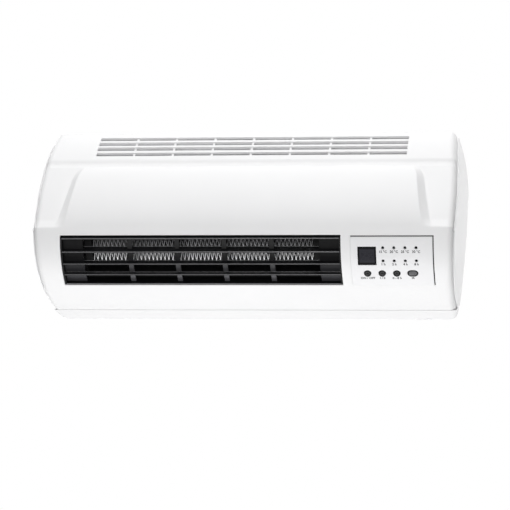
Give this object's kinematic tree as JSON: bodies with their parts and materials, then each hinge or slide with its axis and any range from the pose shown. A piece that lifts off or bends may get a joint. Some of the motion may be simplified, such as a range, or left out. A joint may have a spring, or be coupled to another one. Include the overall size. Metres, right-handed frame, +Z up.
{
  "type": "bathroom wall fan heater",
  "caption": "Wall-hung fan heater: curved white casing with top inlet slots, black louvred outlet over ceramic heating fins, and a control plate with push buttons.",
  "frame": {"origin": "centre of the wall bracket's back face, which lies on the wall", "axes": "+X along the heater to the right as seen from the front, +Y into the wall, +Z up"},
  "size_m": [0.4564, 0.1185, 0.2004],
  "materials": {
    "casing_white": "moulded, satin",
    "plate_white": "fine speckled satin",
    "grille_black": "moulded, satin",
    "duct_black": "matt",
    "fan_grey": "matt",
    "filter_grey": "matt",
    "filter_cloth": "woven mesh",
    "bracket_steel": "zinc plated",
    "screw_steel": "plated",
    "black_rubber": "matt",
    "fin_aluminium": "bright rolled",
    "ceramic": "matt",
    "brass": "plain",
    "smoked_window": "polished",
    "button_grey": "satin",
    "component_black": "matt",
    "board_green": "solder mask"
  },
  "bodies": {
    "heater": {"front_shell": "casing_white", "left_end_cap": "casing_white", "right_end_cap": "casing_white", "rear_housing": "casing_white", "wall_bracket": "bracket_steel", "case_screw_1": "screw_steel", "case_screw_2": "screw_steel", "case_screw_3": "screw_steel", "case_screw_4": "screw_steel", "cord_gland": "black_rubber", "filter_frame": "filter_grey", "filter_mesh": "filter_cloth", "outlet_grille": "grille_black", "fan_scroll": "duct_black", "fan_tongue": "duct_black", "duct_left_wall": "duct_black", "duct_right_wall": "duct_black", "bearing_bush": "brass", "bush_mount": "black_rubber", "motor_bracket": "bracket_steel", "fan_motor": "bracket_steel", "element_holder_left": "duct_black", "element_holder_right": "duct_black", "element_rail_upper": "fin_aluminium", "element_rail_lower": "fin_aluminium", "ceramic_bar": "ceramic", "fin_pack_upper": "fin_aluminium", "fin_pack_lower": "fin_aluminium", "element_terminal_1": "brass", "element_terminal_2": "brass", "thermal_cutout": "component_black", "control_plate": "plate_white", "display_window": "smoked_window", "display_module": "component_black", "indicator_1": "smoked_window", "indicator_2": "smoked_window", "indicator_3": "smoked_window", "indicator_4": "smoked_window", "indicator_5": "smoked_window", "indicator_6": "smoked_window", "indicator_7": "smoked_window", "indicator_8": "smoked_window", "button_switch_1": "component_black", "button_switch_2": "component_black", "button_switch_3": "component_black", "receiver_window": "smoked_window", "receiver_module": "component_black", "control_board": "board_green", "power_board": "board_green", "heater_relay_1": "component_black", "heater_relay_2": "component_black", "capacitor": "component_black", "terminal_block": "component_black"},
    "fan": {"fan_wheel": "fan_grey", "fan_shaft": "screw_steel"},
    "first_button": {"button_1": "button_grey"},
    "second_button": {"button_2": "button_grey"},
    "third_button": {"button_3": "button_grey"}
  },
  "joints": [
    {"name": "fan_spin", "type": "hinge", "parent": "heater", "child": "fan", "pos_m": [0, -0.0505, 0.03], "axis": [1, 0, 0], "continuous": true},
    {"name": "button_1_press", "type": "slide", "parent": "heater", "child": "first_button", "axis": [0, 0.9219, 0.3875], "range_m": [0, 0.0012], "stiffness_N_per_m": 300},
    {"name": "button_2_press", "type": "slide", "parent": "heater", "child": "second_button", "axis": [0, 0.9219, 0.3875], "range_m": [0, 0.0012], "stiffness_N_per_m": 300},
    {"name": "button_3_press", "type": "slide", "parent": "heater", "child": "third_button", "axis": [0, 0.9219, 0.3875], "range_m": [0, 0.0012], "stiffness_N_per_m": 300}
  ]
}
